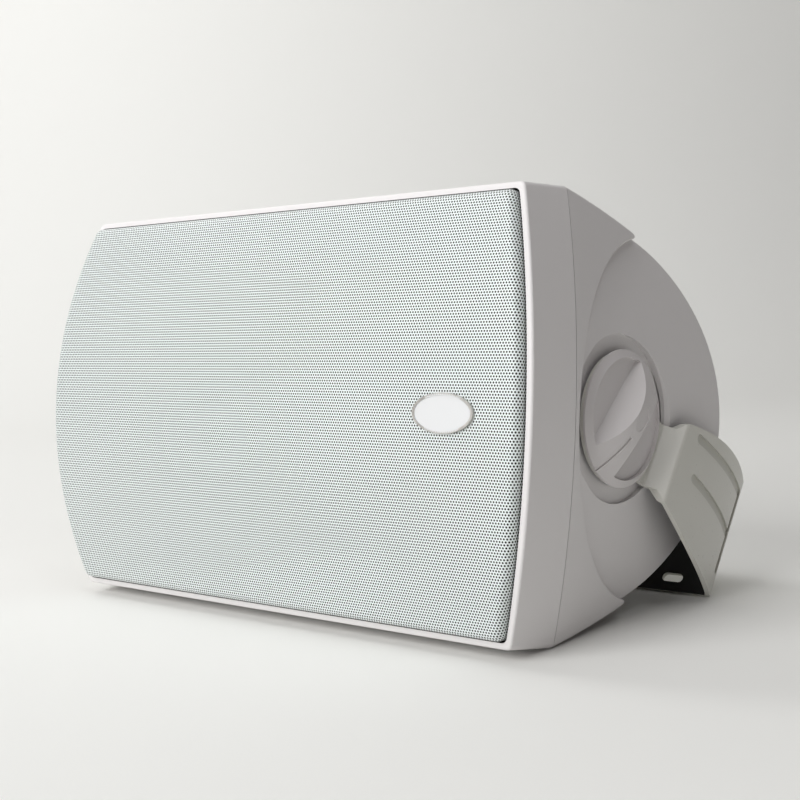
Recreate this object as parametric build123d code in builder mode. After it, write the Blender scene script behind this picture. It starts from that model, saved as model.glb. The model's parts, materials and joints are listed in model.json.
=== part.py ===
from build123d import *
import os
from math import atan2, cos, hypot, pi, radians, sin, sqrt, tan

# An outdoor patio speaker lying on its long side: moulded cabinet in two halves, curved
# perforated grille, woofer and horn tweeter, and a U-bracket clamped by two thumb knobs.
# Lengths are millimetres and angles are degrees.

# Front frame, seen from the front
front_half_height = 108.2
front_end_set = 16.4
end_bow = 18.8
face_radius = 390.0
frame_depth = 31.5
frame_flare = 3.8
corner_round = 4.0
rim_width = 3.2
rim_round = 1.5
wall = 4.0
parting_gap = 0.5

# Grille pan, which stands proud of its recess
recess_depth = 7.5
ledge_width = 6.0
grille_gap = 0.8
grille_proud = 5.0
grille_sheet = 1.2
grille_bend = 4.6

# Oval badge on the grille
badge_x = 130.2
badge_length = 36.0
badge_height = 19.0
badge_thick = 1.6
badge_rim = 1.2
badge_rim_rise = 0.5

# Baffle plate with the driver openings
baffle_front = 20.0
baffle_thick = 6.0

# Rear cabinet: tapered shoulder in front of a bow-ended barrel
shoulder_mid_y = 79.0
shoulder_mid_drop = 4.4
shoulder_back = 110.5
shoulder_back_drop = 13.0
shoulder_taper = 4.4
lip_round = 2.0
crease_set = 4.5
crease_drop = 16.2448
crease_round = 1.2
edge_round = 2.5
pivot_y = 80.0
barrel_drop = 10.2
barrel_half_length = 174.0
barrel_bow_radius = 240.0

# Pivot pocket, insert, stud and friction washer
pocket_radius = 41.7
pocket_depth = 5.5
pocket_chamfer = 2.0
boss_radius = 12.0
insert_radius = 7.0
insert_length = 20.0
stud_radius = 4.0
washer_radius = 26.0
washer_thick = 1.5

# U-bracket of folded sheet
bracket_angle = -30.0
sheet = 2.5
pad_radius = 32.5
ramp_start = 34.9
ramp_end = 42.0
crest_rise = 10.7
arm_bow_mid = 68.0
arm_bow_rise = 12.1
arm_end_drop = 0.2
bracket_reach = 129.0
bend_round = 4.5
root_half_width = 17.4
root_end = 39.0
crest_half_width = 22.3
arm_mid = 75.0
arm_mid_half_width = 31.6
plate_half_width = 34.5
slot_length = 12.5
slot_width = 5.0
slot_edge = 18.0
slot_pitch = 26.5
bead_width = 5.0
bead_depth = 1.1
bead_start = 54.0
bead_offset = 23.0
bead_splay = 2.5
bead_leg = 21.0

# Thumb knob
knob_radius = 33.7
knob_rim = 1.0
knob_rise = 12.4
knob_shoulder_radius = 22.0
knob_shoulder_rise = 7.7
scoop_radius = 30.0
scoop_floor = 1.3
scoop_inner = 12.7
scoop_slope = 36.0
bar_angle = 47.0
tick_width = 1.6
tick_depth = 0.8
tick_start = 12.0
emblem_length = 15.0
emblem_width = 8.0
emblem_depth = 0.7

# Woofer, radii and depths from the baffle's front face
woofer_x = 70.0
woofer_radius = 82.5
woofer_opening = 74.5
flange_thick = 3.5
basket_neck = 71.0
basket_wall = 2.2
basket_base_radius = 46.0
basket_depth = 50.0
basket_straight = 6.0
window_count = 6
window_inner = 49.0
window_outer = 67.5
spoke_width = 11.0
roll_radius = 5.0
roll_centre = 65.0
surround_sheet = 1.0
surround_lip = 3.6
cone_depth = 24.0
cone_sheet = 0.9
coil_radius = 19.0
coil_former = 0.5
coil_winding = 0.9
coil_top = 20.0
coil_bottom = 60.0
spider_depth = 40.0
spider_sheet = 0.7
spider_waves = 4
magnet_gap = 1.2
top_plate_thick = 5.0
top_plate_radius = 44.0
magnet_radius = 50.0
magnet_bore = 25.0
magnet_thick = 16.0
yoke_thick = 6.0
vent_radius = 5.0

# Horn tweeter
horn_x = -85.0
horn_length = 118.0
horn_height = 150.0
horn_border = 8.0
horn_corner = 8.0
horn_wall = 2.5
horn_depth = 52.0
throat_radius = 12.7
driver_radius = 38.0
driver_flange = 5.0
driver_plate = 5.0
driver_magnet = 14.0
driver_bore = 16.0
driver_yoke = 4.0
dome_radius = 12.2
dome_rise = 4.6
dome_sheet = 0.6

# Terminal recess, cup and binding posts in the barrel's back
terminal_x = 0.0
recess_length = 84.0
recess_height = 70.0
recess_sink = 9.0
pad_thick = 6.0
cup_length = 62.0
cup_height = 48.0
cup_wall = 2.5
cup_depth = 22.0
cup_flange = 2.0
post_spacing = 19.05
post_radius = 3.0
post_length = 17.0
post_base_radius = 6.0
post_base = 3.0
post_tail = 8.0
post_hole_radius = 1.3
post_turn = 4.5
plug_radius = 2.05
plug_depth = 9.0
cap_radius = 6.6
cap_length = 9.5
cap_lift = 4.0
cap_flutes = 12
flute_radius = 0.9

# Crossover board and its parts
board_x = -95.0
board_length = 92.0
board_height = 60.0
board_inset = 28.0
board_thick = 1.6
standoff_radius = 4.0
standoff_inset = 6.0
coil_outer = 17.0
coil_inner = 8.0
coil_height = 14.0
capacitor_radius = 8.0
capacitor_length = 32.0
resistor_length = 22.0
resistor_side = 7.0

# Screws
screw_radius = 2.0
screw_head = 3.8
screw_head_thick = 2.2
baffle_screw_x = 142.0
baffle_screw_drop = 17.2
baffle_screw_length = 36.0
baffle_boss = 6.0
boss_end = 104.0
driver_screw_length = 14.0
driver_screw_inset = 4.2
woofer_screw_count = 8
small_screw_radius = 1.5
small_screw_head = 2.8
small_screw_length = 9.0

# Clearances
seat_gap = 0.1
side_gap = 0.3
running_gap = 0.05


def rise(z):
    """How far the convex front face falls back at height z."""
    return face_radius - sqrt(face_radius**2 - z**2)


# Flared frame: its half sizes on the plane that touches the front face, and at the parting line
flare = tan(radians(frame_flare))
corner_back = rise(front_half_height)
plane_half_height = front_half_height - corner_back * flare
front_half_length = barrel_half_length - front_end_set
plane_half_length = front_half_length - corner_back * flare
plane_apex = front_half_length + end_bow
parting_half_height = front_half_height
for _ in range(30):
    parting_half_height = plane_half_height + (frame_depth + rise(parting_half_height)) * flare
parting_y = frame_depth + rise(parting_half_height)

# Places that follow the front's height and the barrel's ends
shoulder_mid_z = front_half_height - shoulder_mid_drop
shoulder_back_z = front_half_height - shoulder_back_drop
crease_front = frame_depth + crease_set
crease_reach = shoulder_back - crease_front
crease_half_height = front_half_height - crease_drop
crease_radius = (crease_reach**2 + crease_half_height**2) / (2 * crease_reach)
crease_y = crease_front + crease_radius
barrel_radius = front_half_height - barrel_drop
barrel_back = pivot_y + barrel_radius
pocket_floor = barrel_half_length - pocket_depth
recess_floor = barrel_back - recess_sink
board_y = barrel_back - board_inset
baffle_screw_z = front_half_height - baffle_screw_drop

# Resting lean: the part stands on the parting edge and on the bracket's lower edge
swing = radians(bracket_angle)
low_y = pivot_y + bracket_reach * cos(swing) + plate_half_width * sin(swing)
low_z = bracket_reach * sin(swing) - plate_half_width * cos(swing)
high_y = pivot_y + bracket_reach * cos(swing) - plate_half_width * sin(swing)
high_z = bracket_reach * sin(swing) + plate_half_width * cos(swing)
lean = atan2(low_z + parting_half_height, low_y - parting_y)
floor_z = parting_y * sin(lean) + parting_half_height * cos(lean)
front_y = (face_radius - grille_proud) * cos(lean) - face_radius
back_y = high_y * cos(lean) + high_z * sin(lean)

# Cabinet frame: X along the length, Y towards the back, Z up across the front
cabinet = Plane(
    origin=(0, -(front_y + back_y) / 2, floor_z),
    x_dir=(1, 0, 0),
    z_dir=(0, sin(lean), cos(lean)),
)


def spot(x, y, z):
    """A point given in the cabinet frame."""
    return cabinet.from_local_coords(Vector(x, y, z))


def side_plane(x):
    """Looks along the length: sketch x runs to the back, sketch y runs up."""
    return Plane(origin=spot(x, 0, 0), x_dir=cabinet.y_dir, z_dir=cabinet.x_dir)


def depth_plane(y, x=0):
    """Faces the back: sketch x runs along the length, sketch y runs down."""
    return Plane(origin=spot(x, y, 0), x_dir=cabinet.x_dir, z_dir=cabinet.y_dir)


def section_plane(x, y):
    """Cuts a round driver through its axis: sketch x is the radius, sketch y the depth."""
    return Plane(origin=spot(x, y, 0), x_dir=cabinet.x_dir, z_dir=cabinet.z_dir)


def depth_axis(x):
    """The axis of a round driver, from front to back."""
    return Axis(spot(x, 0, 0), cabinet.y_dir)


back_axis = depth_axis(0)
far = 260.0


def bowed_outline(half_length, half_height, grow, corner, y):
    """Outline with straight long sides and bowed ends, offset by grow, at depth y."""
    with BuildSketch(depth_plane(y), mode=Mode.PRIVATE) as outline:
        with BuildLine():
            Line((-half_length, half_height), (half_length, half_height))
            ThreePointArc((half_length, half_height), (plane_apex, 0), (half_length, -half_height))
            Line((half_length, -half_height), (-half_length, -half_height))
            ThreePointArc((-half_length, -half_height), (-plane_apex, 0), (-half_length, half_height))
        make_face()
        if grow:
            offset(amount=grow, kind=Kind.INTERSECTION)
        if corner:
            fillet(outline.vertices(), corner)
    return outline.sketch


def frame_outline(grow, corner=0, y=0):
    """Outline of the flared frame on the plane that touches its front face."""
    return bowed_outline(plane_half_length, plane_half_height, grow, corner, y)


def mouth_outline(inset, corner, y=0):
    """Outline of the frame's front edge as seen from the front, offset inwards."""
    return bowed_outline(front_half_length, front_half_height, -inset, corner, y)


def bowed_slab(apex, bow_radius):
    """A tall outline whose two ends are arcs of one radius, for trimming ends."""
    half_height = front_half_height + 3 * corner_round + end_bow
    corner = apex - bow_radius + sqrt(bow_radius**2 - half_height**2)
    with BuildSketch(depth_plane(0), mode=Mode.PRIVATE) as outline:
        with BuildLine():
            Line((-corner, half_height), (corner, half_height))
            ThreePointArc((corner, half_height), (apex, 0), (corner, -half_height))
            Line((corner, -half_height), (-corner, -half_height))
            ThreePointArc((-corner, -half_height), (-apex, 0), (-corner, half_height))
        make_face()
    return outline.sketch


def face_slab(front, back):
    """Side section between two copies of the front arc, set back by front and back."""
    reach = parting_half_height + 2 * wall
    with BuildSketch(side_plane(0), mode=Mode.PRIVATE) as slab:
        with BuildLine():
            near = ThreePointArc((rise(reach) + front, -reach), (front, 0), (rise(reach) + front, reach))
            rear = ThreePointArc((rise(reach) + back, reach), (back, 0), (rise(reach) + back, -reach))
            Line(near @ 1, rear @ 0)
            Line(rear @ 1, near @ 0)
        make_face()
    return slab.sketch


# Screw positions as (x, z)
baffle_screws_at = [
    (x, z) for x in (-baffle_screw_x, 0, baffle_screw_x) for z in (-baffle_screw_z, baffle_screw_z)
]
woofer_screw_circle = woofer_radius - driver_screw_inset
woofer_screws_at = [
    (
        woofer_x + woofer_screw_circle * cos(2 * pi * (i + 0.5) / woofer_screw_count),
        woofer_screw_circle * sin(2 * pi * (i + 0.5) / woofer_screw_count),
    )
    for i in range(woofer_screw_count)
]
horn_screws_at = [
    (horn_x + i * (horn_length / 2 - driver_screw_inset), j * (horn_height / 2 - driver_screw_inset))
    for i in (-1, 1)
    for j in (-1, 1)
]
board_screws_at = [
    (board_x + i * (board_length / 2 - standoff_inset), j * (board_height / 2 - standoff_inset))
    for i in (-1, 1)
    for j in (-1, 1)
]
cup_flange_margin = (recess_length - 2 * side_gap - cup_length) / 4
terminal_screws_at = [
    (
        terminal_x + i * (cup_length / 2 + cup_flange_margin),
        j * (cup_height / 2 - 2 * cup_wall),
    )
    for i in (-1, 1)
    for j in (-1, 1)
]


def down(places):
    """Screw places as sketch points on a plane whose sketch y runs down."""
    return [(x, -z) for x, z in places]


# Recess that takes the grille pan
with BuildPart() as recess:
    extrude(mouth_outline(rim_width, corner_round), amount=far)
    extrude(face_slab(-recess_depth, recess_depth), amount=far, both=True, mode=Mode.INTERSECT)

# Front frame and baffle, one moulding
baffle_back = baffle_front + baffle_thick
boss_start = frame_depth + rise(baffle_screw_z)
with BuildPart() as front_baffle:
    extrude(frame_outline(0), amount=2 * frame_depth, taper=-frame_flare)
    fillet(front_baffle.edges().filter_by_position(back_axis, corner_round, frame_depth * 1.5), corner_round)
    extrude(face_slab(0, frame_depth), amount=far, both=True, mode=Mode.INTERSECT)
    fillet(front_baffle.faces().sort_by(back_axis)[0].edges(), rim_round)
    add(recess.part, mode=Mode.SUBTRACT)
    extrude(mouth_outline(rim_width + ledge_width, corner_round), amount=baffle_front, mode=Mode.SUBTRACT)
    extrude(frame_outline(-wall, corner_round, baffle_back), amount=far, mode=Mode.SUBTRACT)
    with BuildSketch(depth_plane(baffle_back)):
        with Locations(*down(baffle_screws_at)):
            Circle(baffle_boss)
    extrude(amount=boss_start - baffle_back - seat_gap)
    with BuildSketch(depth_plane(0)):
        with Locations((woofer_x, 0)):
            Circle(woofer_opening)
        with Locations((horn_x, 0)):
            RectangleRounded(horn_length - horn_border, horn_height - horn_border, horn_corner)
        with Locations(*down(baffle_screws_at)):
            Circle(screw_radius + side_gap)
    extrude(amount=far, mode=Mode.SUBTRACT)
    with BuildSketch(depth_plane(0)):
        with Locations(*down(woofer_screws_at + horn_screws_at)):
            Circle(screw_radius + running_gap)
    extrude(amount=far, mode=Mode.SUBTRACT)
front_baffle.part.label = "front_baffle"

# Perforated grille, a shallow curved pan; the fine holes are a surface finish
pan_edge = rim_width + grille_gap
pan_back = recess_depth - side_gap
pan_start = -grille_proud - corner_round
with BuildPart() as pan_hollow:
    extrude(mouth_outline(pan_edge + grille_sheet, corner_round, pan_start), amount=far)
    extrude(
        face_slab(grille_sheet - grille_proud, 2 * recess_depth),
        amount=far,
        both=True,
        mode=Mode.INTERSECT,
    )
    fillet(pan_hollow.faces().sort_by(back_axis)[0].edges(), grille_bend - grille_sheet)

with BuildPart() as grille:
    extrude(mouth_outline(pan_edge, corner_round + grille_sheet, pan_start), amount=far)
    extrude(face_slab(-grille_proud, pan_back), amount=far, both=True, mode=Mode.INTERSECT)
    fillet(grille.faces().sort_by(back_axis)[0].edges(), grille_bend)
    add(pan_hollow.part, mode=Mode.SUBTRACT)
grille.part.label = "grille"

# Plain oval badge with a raised rim
badge_back = -grille_proud - running_gap
with BuildPart() as badge:
    with BuildSketch(depth_plane(badge_back, badge_x)):
        Ellipse(badge_length / 2, badge_height / 2)
    extrude(amount=-badge_thick)
    with BuildSketch(depth_plane(badge_back - badge_thick, badge_x)):
        Ellipse(badge_length / 2 - badge_rim, badge_height / 2 - badge_rim)
    extrude(amount=badge_rim_rise, mode=Mode.SUBTRACT)
badge.part.label = "badge"

# End arc of the shoulder, which meets the flared frame along the parting line
shoulder_slope = tan(radians(shoulder_taper))
plane_bow = plane_apex - plane_half_length
frame_bow_radius = (plane_half_height**2 + plane_bow**2) / (2 * plane_bow)
parting_bow_radius = frame_bow_radius + parting_y * flare
parting_corner = (
    plane_apex
    + parting_y * flare
    - parting_bow_radius
    + sqrt(parting_bow_radius**2 - parting_half_height**2)
)
shoulder_apex = plane_apex + frame_depth * (flare + shoulder_slope)
shoulder_sag = shoulder_apex - parting_y * shoulder_slope - parting_corner
shoulder_bow_radius = (
    (parting_half_height**2 + shoulder_sag**2) / (2 * shoulder_sag) + parting_y * shoulder_slope
)


def shoulder_profile(inset):
    """Side section of the shoulder, offset inwards by inset."""
    with BuildSketch(side_plane(0), mode=Mode.PRIVATE) as profile:
        with BuildLine():
            top = Line((0, parting_half_height), (parting_y, parting_half_height))
            fall = ThreePointArc(
                top @ 1, (shoulder_mid_y, shoulder_mid_z), (shoulder_back, shoulder_back_z)
            )
            Line(fall @ 1, (shoulder_back, 0))
            Line((0, 0), top @ 0)
            mirror(about=Plane.XZ)
        make_face()
        if inset:
            offset(amount=-inset)
    return profile.sketch


def barrel_profile(inset):
    """Side section of the barrel, which is round about the pivot axis."""
    with BuildSketch(side_plane(0), mode=Mode.PRIVATE) as profile:
        with Locations((pivot_y, 0)):
            Circle(barrel_radius - inset)
    return profile.sketch


def crease_profile(grow):
    """Side section of the round hollow that ends the shoulder on the end walls."""
    with BuildSketch(side_plane(0), mode=Mode.PRIVATE) as profile:
        with Locations((crease_y, 0)):
            Circle(crease_radius + grow)
    return profile.sketch


def pivot_disc(x, radius):
    """A circle about the pivot axis on a plane across the length."""
    with BuildSketch(side_plane(x), mode=Mode.PRIVATE) as disc:
        with Locations((pivot_y, 0)):
            Circle(radius)
    return disc.sketch


# Barrel with bowed ends
with BuildPart() as barrel:
    extrude(barrel_profile(0), amount=far, both=True)
    extrude(bowed_slab(barrel_half_length, barrel_bow_radius), amount=far, both=True, mode=Mode.INTERSECT)
    fillet(barrel.edges(), edge_round)

# Hollow inside the cabinet
with BuildPart() as cavity:
    extrude(shoulder_profile(wall), amount=far, both=True)
    extrude(
        bowed_slab(shoulder_apex - wall, shoulder_bow_radius - wall),
        amount=far,
        taper=shoulder_taper,
        mode=Mode.INTERSECT,
    )
    extrude(crease_profile(wall), amount=far, both=True, mode=Mode.SUBTRACT)
    extrude(barrel_profile(wall), amount=far, both=True)
    extrude(
        bowed_slab(barrel_half_length - wall, barrel_bow_radius - wall),
        amount=far,
        both=True,
        mode=Mode.INTERSECT,
    )

# Thick pad round the terminal recess, trimmed to the barrel
with BuildPart() as terminal_pad:
    with BuildSketch(depth_plane(recess_floor - pad_thick, terminal_x)):
        Rectangle(recess_length + 2 * wall, recess_height + 2 * wall)
    extrude(amount=far)
    add(barrel.part, mode=Mode.INTERSECT)


def is_corner(edge):
    """True for the shoulder's four long corner edges."""
    centre = cabinet.to_local_coords(edge.center())
    return abs(centre.X) > plane_half_length / 2 and abs(centre.Z) > plane_half_height / 2


def is_crease(edge):
    """True for the edges where the shoulder's end walls drop to the barrel."""
    middle = cabinet.to_local_coords(edge @ 0.5)
    on_crease = abs(hypot(middle.Y - crease_y, middle.Z) - crease_radius) < running_gap
    return on_crease and abs(middle.X) > plane_half_length / 2 and middle.Y < shoulder_mid_y


# Tapered shoulder with its rounded lip and crease
with BuildPart() as shoulder:
    extrude(shoulder_profile(0), amount=far, both=True)
    extrude(
        bowed_slab(shoulder_apex, shoulder_bow_radius),
        amount=far,
        taper=shoulder_taper,
        mode=Mode.INTERSECT,
    )
    fillet(shoulder.edges().filter_by(is_corner), corner_round)
    fillet(shoulder.faces().sort_by(back_axis)[-1].edges(), lip_round)
    extrude(crease_profile(0), amount=far, both=True, mode=Mode.SUBTRACT)
    fillet(shoulder.edges().filter_by(is_crease), crease_round)

# Rear cabinet: shoulder, barrel, bosses, pivot pockets and terminal recess
with BuildPart() as rear_cabinet:
    add(shoulder.part)
    add(barrel.part)
    add(cavity.part, mode=Mode.SUBTRACT)
    add(terminal_pad.part)
    with BuildSketch(depth_plane(boss_start)):
        with Locations(*down(baffle_screws_at)):
            Circle(baffle_boss)
    extrude(amount=boss_end - boss_start)
    with BuildSketch(depth_plane(board_y + board_thick)):
        with Locations(*down(board_screws_at)):
            Circle(standoff_radius)
    extrude(amount=recess_floor - board_y)
    extrude(face_slab(frame_depth + parting_gap, far), amount=far, both=True, mode=Mode.INTERSECT)
    for end in (-1, 1):
        extrude(pivot_disc(end * (pocket_floor - wall), pocket_radius + wall), amount=end * wall)
        extrude(pivot_disc(end * (pocket_floor - insert_length - wall), boss_radius), amount=end * insert_length)
        extrude(pivot_disc(end * pocket_floor, pocket_radius), amount=end * far, mode=Mode.SUBTRACT)
        extrude(
            pivot_disc(end * (barrel_half_length - pocket_chamfer), pocket_radius),
            amount=end * 2 * pocket_chamfer,
            taper=-45,
            mode=Mode.SUBTRACT,
        )
        extrude(
            pivot_disc(end * (pocket_floor - insert_length), insert_radius + running_gap),
            amount=end * far,
            mode=Mode.SUBTRACT,
        )
    with BuildSketch(depth_plane(recess_floor, terminal_x)):
        RectangleRounded(recess_length, recess_height, horn_corner)
    extrude(amount=far, mode=Mode.SUBTRACT)
    with BuildSketch(depth_plane(recess_floor - 2 * pad_thick, terminal_x)):
        RectangleRounded(cup_length + 2 * side_gap, cup_height + 2 * side_gap, horn_corner)
    extrude(amount=far, mode=Mode.SUBTRACT)
    with BuildSketch(depth_plane(boss_start)):
        with Locations(*down(baffle_screws_at)):
            Circle(screw_radius + running_gap)
    extrude(amount=baffle_screw_length, mode=Mode.SUBTRACT)
    with BuildSketch(depth_plane(board_y)):
        with Locations(*down(board_screws_at)):
            Circle(small_screw_radius + running_gap)
    extrude(amount=small_screw_length + board_thick, mode=Mode.SUBTRACT)
    with BuildSketch(depth_plane(recess_floor)):
        with Locations(*down(terminal_screws_at)):
            Circle(small_screw_radius + running_gap)
    extrude(amount=-2 * pad_thick, mode=Mode.SUBTRACT)
rear_cabinet.part.label = "rear_cabinet"

# Foam gasket in the parting line
with BuildPart() as cabinet_gasket:
    extrude(frame_outline(-grille_sheet), amount=2 * frame_depth, taper=-frame_flare)
    extrude(frame_outline(-wall, corner_round), amount=far, mode=Mode.SUBTRACT)
    extrude(
        face_slab(frame_depth + running_gap, frame_depth + parting_gap - running_gap),
        amount=far,
        both=True,
        mode=Mode.INTERSECT,
    )
cabinet_gasket.part.label = "cabinet_gasket"

# Woofer basket, a pressed frame with open windows between its spokes
woofer_axis = depth_axis(woofer_x)
woofer_section = section_plane(woofer_x, baffle_front)
basket_foot = basket_depth - basket_straight
with BuildPart() as woofer_basket:
    with BuildSketch(woofer_section):
        basket_wall_line = [
            (woofer_radius, -flange_thick),
            (woofer_radius, 0),
            (basket_neck + basket_wall, 0),
            (basket_base_radius, basket_foot),
            (basket_base_radius, basket_depth),
            (magnet_bore, basket_depth),
            (magnet_bore, basket_depth - basket_wall),
            (basket_base_radius - basket_wall, basket_depth - basket_wall),
            (basket_base_radius - basket_wall, basket_foot),
            (basket_neck, 0),
            (basket_neck, -flange_thick),
        ]
        with BuildLine():
            Polyline(*basket_wall_line, close=True)
        make_face()
    revolve(axis=woofer_axis)
    with BuildSketch(depth_plane(baffle_back + basket_wall, woofer_x)):
        Circle(window_outer)
        Circle(window_inner, mode=Mode.SUBTRACT)
        with PolarLocations(0, window_count):
            Rectangle(window_outer, spoke_width, align=(Align.MIN, Align.CENTER), mode=Mode.SUBTRACT)
    extrude(amount=basket_foot - baffle_thick - 2 * basket_wall, mode=Mode.SUBTRACT)
    with BuildSketch(depth_plane(0)):
        with Locations(*down(woofer_screws_at)):
            Circle(screw_radius + side_gap)
    extrude(amount=far, mode=Mode.SUBTRACT)
woofer_basket.part.label = "woofer_basket"

# Rubber surround with its half roll, between the basket's flange and the cone
roll_depth = -flange_thick - surround_sheet / 2
with BuildPart() as woofer_surround:
    with BuildSketch(woofer_section):
        with Locations((roll_centre, roll_depth)):
            Circle(roll_radius + surround_sheet / 2)
            Circle(roll_radius - surround_sheet / 2, mode=Mode.SUBTRACT)
            Rectangle(
                3 * roll_radius, 2 * roll_radius, align=(Align.CENTER, Align.MIN), mode=Mode.SUBTRACT
            )
        with Locations((roll_centre + roll_radius - surround_sheet / 2, roll_depth)):
            Rectangle(surround_lip, surround_sheet, align=(Align.MIN, Align.CENTER))
        with Locations((roll_centre - roll_radius + surround_sheet / 2, roll_depth)):
            Rectangle(surround_lip, surround_sheet, align=(Align.MAX, Align.CENTER))
    revolve(axis=woofer_axis)
woofer_surround.part.label = "woofer_surround"

# Paper cone, glued under the surround's inner lip and round the voice coil
cone_rim = roll_centre - roll_radius
cone_neck = coil_radius + side_gap
cone_lip = -flange_thick + running_gap
cone_middle = (cone_rim + cone_neck) / 2
cone_bend = cone_depth / 3
cone_wall = 1.25 * cone_sheet
with BuildPart() as woofer_cone:
    with BuildSketch(woofer_section):
        with BuildLine():
            top = ThreePointArc((cone_rim, cone_lip), (cone_middle, cone_bend), (cone_neck, cone_depth))
            base = ThreePointArc(
                (cone_neck, cone_depth + cone_wall),
                (cone_middle, cone_bend + cone_wall),
                (cone_rim, cone_lip + cone_wall),
            )
            Line(top @ 1, base @ 0)
            Line(base @ 1, top @ 0)
        make_face()
    revolve(axis=woofer_axis)
woofer_cone.part.label = "woofer_cone"

# Domed dust cap over the voice coil
cap_edge = coil_radius + 4 * cone_sheet
cap_edge_depth = coil_top - side_gap
cap_top_depth = coil_top - cap_edge / 3
with BuildPart() as dust_cap:
    with BuildSketch(woofer_section):
        with BuildLine():
            top = TangentArc((0, cap_top_depth), (cap_edge, cap_edge_depth), tangent=(1, 0))
            base = TangentArc(
                (0, cap_top_depth + cone_sheet), (cap_edge, cap_edge_depth + cone_sheet), tangent=(1, 0)
            )
            Line(top @ 0, base @ 0)
            Line(top @ 1, base @ 1)
        make_face()
    revolve(axis=woofer_axis)
dust_cap.part.label = "dust_cap"

# Voice coil: thin former with its winding in the magnet gap
with BuildPart() as voice_coil:
    with BuildSketch(woofer_section):
        with Locations((coil_radius, coil_top)):
            Rectangle(coil_former, coil_bottom - coil_top, align=(Align.MAX, Align.MIN))
        with Locations((coil_radius, coil_bottom)):
            Rectangle(coil_winding, magnet_thick, align=(Align.MIN, Align.MAX))
    revolve(axis=woofer_axis)
voice_coil.part.label = "voice_coil"

# Corrugated spider that centres the voice coil
spider_inner = coil_radius + side_gap
spider_taper = (basket_neck - basket_base_radius + basket_wall) / basket_foot
spider_outer = basket_neck - spider_taper * (spider_depth + 2 * spider_sheet) - side_gap
wave = (spider_outer - spider_inner) / (2 * spider_waves)
with BuildPart() as spider:
    with BuildSketch(woofer_section):
        with BuildLine():
            for lift in (0, spider_sheet):
                for i in range(2 * spider_waves):
                    start = spider_inner + i * wave
                    bulge = spider_sheet * (1 if i % 2 else -1)
                    ThreePointArc(
                        (start, spider_depth + lift),
                        (start + wave / 2, spider_depth + lift + bulge),
                        (start + wave, spider_depth + lift),
                    )
            Line((spider_inner, spider_depth), (spider_inner, spider_depth + spider_sheet))
            Line((spider_outer, spider_depth), (spider_outer, spider_depth + spider_sheet))
        make_face()
    revolve(axis=woofer_axis)
spider.part.label = "spider"

# Magnet system: top plate, ferrite ring and vented yoke
magnet_start = basket_depth + top_plate_thick
yoke_start = magnet_start + magnet_thick
pole_radius = coil_radius - coil_former - magnet_gap
with BuildPart() as woofer_top_plate:
    with BuildSketch(depth_plane(baffle_front + basket_depth, woofer_x)):
        Circle(top_plate_radius)
        Circle(coil_radius + coil_winding + magnet_gap, mode=Mode.SUBTRACT)
    extrude(amount=top_plate_thick)
woofer_top_plate.part.label = "woofer_top_plate"

with BuildPart() as woofer_magnet:
    with BuildSketch(depth_plane(baffle_front + magnet_start, woofer_x)):
        Circle(magnet_radius)
        Circle(magnet_bore, mode=Mode.SUBTRACT)
    extrude(amount=magnet_thick)
woofer_magnet.part.label = "woofer_magnet"

with BuildPart() as woofer_yoke:
    with BuildSketch(depth_plane(baffle_front + yoke_start, woofer_x)):
        Circle(top_plate_radius)
    extrude(amount=yoke_thick)
    with BuildSketch(depth_plane(baffle_front + basket_depth, woofer_x)):
        Circle(pole_radius)
    extrude(amount=yoke_start - basket_depth)
    with BuildSketch(depth_plane(baffle_front, woofer_x)):
        Circle(vent_radius)
    extrude(amount=far, mode=Mode.SUBTRACT)
woofer_yoke.part.label = "woofer_yoke"

# Moulded horn, from a rectangular mouth to a round throat
mouth_length = horn_length - horn_border - 2 * side_gap
mouth_height = horn_height - horn_border - 2 * side_gap
with BuildPart() as tweeter_horn:
    with BuildSketch(depth_plane(baffle_front, horn_x)):
        RectangleRounded(horn_length, horn_height, horn_corner)
    extrude(amount=-flange_thick)
    with BuildSketch(depth_plane(baffle_front, horn_x)):
        RectangleRounded(mouth_length, mouth_height, horn_corner)
    with BuildSketch(depth_plane(baffle_front + horn_depth, horn_x)):
        Circle(throat_radius + 2 * horn_wall)
    loft()
    with BuildSketch(depth_plane(baffle_front + horn_depth, horn_x)):
        Circle(driver_radius)
    extrude(amount=driver_flange)
    with BuildSketch(depth_plane(baffle_front - flange_thick, horn_x)):
        RectangleRounded(mouth_length - 2 * horn_wall, mouth_height - 2 * horn_wall, horn_corner - horn_wall)
    with BuildSketch(depth_plane(baffle_front + horn_depth, horn_x)):
        Circle(throat_radius)
    loft(mode=Mode.SUBTRACT)
    with BuildSketch(depth_plane(baffle_front + horn_depth, horn_x)):
        Circle(throat_radius)
    extrude(amount=driver_flange, mode=Mode.SUBTRACT)
    with BuildSketch(depth_plane(0)):
        with Locations(*down(horn_screws_at)):
            Circle(screw_radius + side_gap)
    extrude(amount=baffle_back, mode=Mode.SUBTRACT)
tweeter_horn.part.label = "tweeter_horn"

# Compression driver behind the throat
plate_y = baffle_front + horn_depth + driver_flange
ring_y = plate_y + driver_plate
driver_yoke_y = ring_y + driver_magnet
with BuildPart() as tweeter_plate:
    with BuildSketch(depth_plane(plate_y, horn_x)):
        Circle(driver_radius)
        Circle(throat_radius, mode=Mode.SUBTRACT)
    extrude(amount=driver_plate)
tweeter_plate.part.label = "tweeter_plate"

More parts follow.
